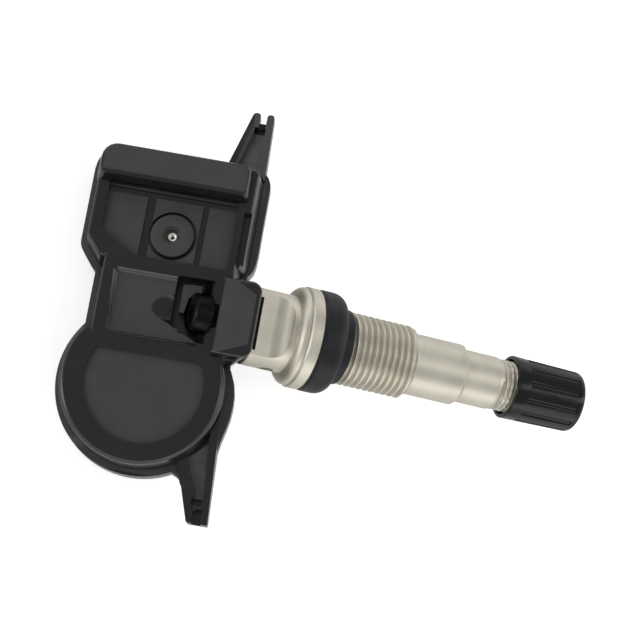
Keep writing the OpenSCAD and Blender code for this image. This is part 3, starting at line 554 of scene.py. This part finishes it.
# Cover: the upper moulding. Its flat fields have the matte grain of a spark-eroded mould, and its
# walls, frame and rounded edges are smoother and darker.
deck_h, bar_h, nose_h, dome_h = 9.3, 12.6, 12.0, 9.9
disc_top = 9.7
panel_floor = [(-24.82, 16), (-24.82, 10), (-19.4, 6.93), (-5.53, 6.93), (-5.53, 16)]
grooves = [(-18.87, -17.58), (-10.57, -9.68)]
groove_depth = 0.56
guard = [(-11.42, 4.0), (-11.3, -0.2), (-10.65, -0.2), (-10.3, 2.1), (-9.7, 2.75), (-8.56, 3.08),
         (-8.55, 4.2)]
guard_top = 9.0
bar_end_foot = rectangle(-2.75, -2.5, 17, 25)
bar_end_top = rectangle(-3.7, -2.5, 17, 25)
nose_back_floor = 10.02


def marked_fields(x, y, z):
    """The three panels and the screw's panel, the battery's panel, the bar's top and the nose, and the
    guard rib in the screw's pocket, whose pale colour is painted light in the pocket's shade.
    """
    panels = z.near(deck_h, 0.06) + z.near(dome_h - 0.5, 0.03) + z.near(disc_top, 0.04)
    # Painted light: the guard rib's top gets the fields' pale colour so that it reads as lit inside the
    # shaded pocket.
    rib_painted_light = z.near(guard_top, 0.06) * x.near(-10, 1.6) * y.near(1.9, 2.3)
    bar = z.near(bar_h, 0.05) * x.near(-14.8, 11.1, 0.25) * y.near(20.3, 1.75, 0.25)
    nose = (z.near(nose_h, 0.05) * x.near(-2.85, 2.35, 0.15) * (3.61 - x * 0.526 - y).between(0, 0.2)
            * (y + 3.53 - x * 0.432).between(0, 0.2))
    return panels + rib_painted_light + bar + nose


cover_plastic = moulded_plastic("cover_plastic", *black, field_black, marked_fields)
cover = copied("upper_housing", "cover")
cut(cover, block("panels", panel_floor, deck_h - hair, deck_h + 2))
for left, right in grooves:
    cut(cover, block("groove", rectangle(left, right, 6.93, 16.3), deck_h - groove_depth, deck_h + 2))
cut(cover, block("bar_end", bar_end_foot, 4, bar_h + 0.2, top=bar_end_top))
cut(cover, block("nose_back", rectangle(-9, -5.5, -8, 8), nose_back_floor, nose_h + 2))
joined(cover, block("guard", guard, 8.0, guard_top))
joined(cover, block("guard_foot", rectangle(-11.4, -10.7, -0.15, 4), 5, guard_top - 0.1))
softened(cover, 0.28, angle=38, segments=3)
dressed(cover, cover_plastic, "sensor", "upper_housing")


# Pressure port: a plastic disc let into the middle panel, with a plated bush that holds the
# breathing hole. A soft seal under it meets the pressure chip.
port_x, port_y = -14.35, 10.7


def spun(name, profile):
    """Turned piece on the port's axis, from a profile of [radius, height]."""
    bpy.ops.object.select_all(action="DESELECT")
    bpy.ops.mesh.primitive_circle_add(vertices=len(profile), radius=mm, fill_type="NOTHING")
    piece = bpy.context.object
    piece.name = name
    for vertex, (radius, height) in zip(piece.data.vertices, profile):
        vertex.co = (radius * mm, 0, height * mm)
    modified(piece, "SCREW", axis="Z", steps=steps_around, render_steps=steps_around,
             use_merge_vertices=True, merge_threshold=0.001 * mm, use_smooth_shade=False)
    bpy.ops.object.mode_set(mode="EDIT")
    bpy.ops.mesh.select_all(action="SELECT")
    bpy.ops.mesh.normals_make_consistent(inside=False)
    bpy.ops.object.mode_set(mode="OBJECT")
    piece.location = (port_x * mm, port_y * mm, 0)
    bpy.ops.object.transform_apply(location=True, rotation=True, scale=True)
    return settled(piece)


disc_profile = [(0.88, 8.32), (3.15, 8.32), (3.15, disc_top), (1.34, disc_top), (1.3, 9.45),
                (1.06, 9.42), (1.02, 9.1), (0.64, 9.05), (0.62, 8.72), (0.88, 8.68)]
insert_profile = [(0.15, 7.72), (0.85, 7.72), (0.85, 8.62), (0.55, 8.62), (0.15, 8.4)]
disc = softened(spun("disc", disc_profile), 0.05, angle=30)
dressed(disc, cover_plastic, "sensor", "port_disc")
insert = softened(spun("insert", insert_profile), 0.03, angle=30)
plated = plain_finish("plated_bush", (0.95, 0.93, 0.88, 1), (0.88, 0.86, 0.81, 1), 0.3, 1.0)
dressed(insert, plated, "sensor", "port_insert")
refinished("port_seal", moulded_rubber("silicone", (0.08, 0.08, 0.09, 1), (0.12, 0.12, 0.13, 1), 0.45))


# Valve cap: black plastic with moulded grip flutes and a rubber sealing disc inside. It screws on
# the stem's end.
cap = softened(copied("valve_cap", "cap"), 0.13, angle=30, segments=3)
cap_plastic = moulded_plastic("cap_plastic", *black, level=0.25)
dressed(cap, cap_plastic, "valve_cap", "valve_cap")
refinished("cap_seal", seal_black)


# Table and studio: a white table top and four soft boxes round the object.
table_z = packed_size[0][2] - hair * mm


def white_table():
    """White top that shows as clean white, and still takes the object's soft shadow."""
    finish = Finish("table_white", Base_Color=(0.86, 0.86, 0.86, 1), Roughness=0.9)
    straight = finish.node("LightPath", output="Is Camera Ray")
    mirrored = finish.node("LightPath", output="Is Glossy Ray")
    through = finish.node("LightPath", output="Is Transmission Ray")
    seen = (straight + through) * 0.6 + mirrored * 0.15
    glow = finish.node("Emission", inputs={"Color": (1, 1, 1, 1), "Strength": seen})
    total = finish.node("AddShader", inputs={0: Value(finish, finish.shader.outputs[0]), 1: glow})
    output = finish.tree.nodes["Material Output"]
    finish.tree.links.new(total.socket, output.inputs["Surface"])
    return finish.material


bpy.ops.object.select_all(action="DESELECT")
bpy.ops.mesh.primitive_plane_add(size=4.0, location=(0, 0, table_z))
table = bpy.context.object
table.name = "table"
table.data.materials.append(white_table())

view_right = Vector((0.92203, 0.17354, 0.34604))
view_up = Vector((-0.22226, 0.96919, 0.10618))
view_back = Vector((-0.31695, -0.17481, 0.93219))
target = Vector((-2.84, 3.1, 0.96)) * mm
camera_place = Vector((-0.11593, -0.05927, 0.33357))


def soft_box(name, right, up, back, distance, width, height, power):
    """Rectangular lamp that faces the object from a direction of the picture."""
    way = (view_right * right + view_up * up + view_back * back).normalized()
    lamp = bpy.data.lights.new(name, "AREA")
    lamp.shape = "RECTANGLE"
    lamp.size, lamp.size_y = width, height
    lamp.energy = power
    holder = bpy.data.objects.new(name, lamp)
    holder.location = target + way * distance
    holder.rotation_euler = way.to_track_quat("Z", "Y").to_euler()
    bpy.context.scene.collection.objects.link(holder)


soft_box("lamp_low", 0.1, -1.0, 0.4, 0.7, 0.9, 0.22, 1.0)
soft_box("lamp_high", -0.1, 1.0, 0.45, 0.7, 0.9, 0.2, 0.65)
soft_box("lamp_left", -1.0, 0.1, 0.4, 0.7, 0.2, 0.7, 1.6)
soft_box("lamp_right", 1.0, 0.0, 0.4, 0.7, 0.2, 0.7, 1.3)

# Room: white light, stronger from the table's level and below it than from above.
fade_end, level_strength, top_strength = 0.6, 1.35, 0.44
world = bpy.data.worlds.new("room")
bpy.context.scene.world = world
world.use_nodes = True
room = world.node_tree
direction = room.nodes.new("ShaderNodeTexCoord")
upward = room.nodes.new("ShaderNodeSeparateXYZ")
fall = room.nodes.new("ShaderNodeMapRange")
fall.interpolation_type = "SMOOTHSTEP"
for socket, value in zip(fall.inputs[1:5], (0.0, fade_end, level_strength, top_strength)):
    socket.default_value = value
room.links.new(direction.outputs["Generated"], upward.inputs[0])
room.links.new(upward.outputs["Z"], fall.inputs[0])
room.links.new(fall.outputs[0], room.nodes["Background"].inputs["Strength"])
room.nodes["Background"].inputs["Color"].default_value = (1, 1, 1, 1)
bpy.context.scene.view_settings.view_transform = "Standard"


# Camera: a long lens at the photograph's angle, in front of the marked side.
lens = bpy.data.cameras.new("camera")
lens.lens = 135.6
lens.sensor_width = 36
lens.clip_start = 0.01
camera = bpy.data.objects.new("camera", lens)
turn = Matrix((view_right, view_up, view_back)).transposed().to_4x4()
camera.matrix_world = Matrix.Translation(camera_place) @ turn
bpy.context.scene.collection.objects.link(camera)
bpy.context.scene.camera = camera
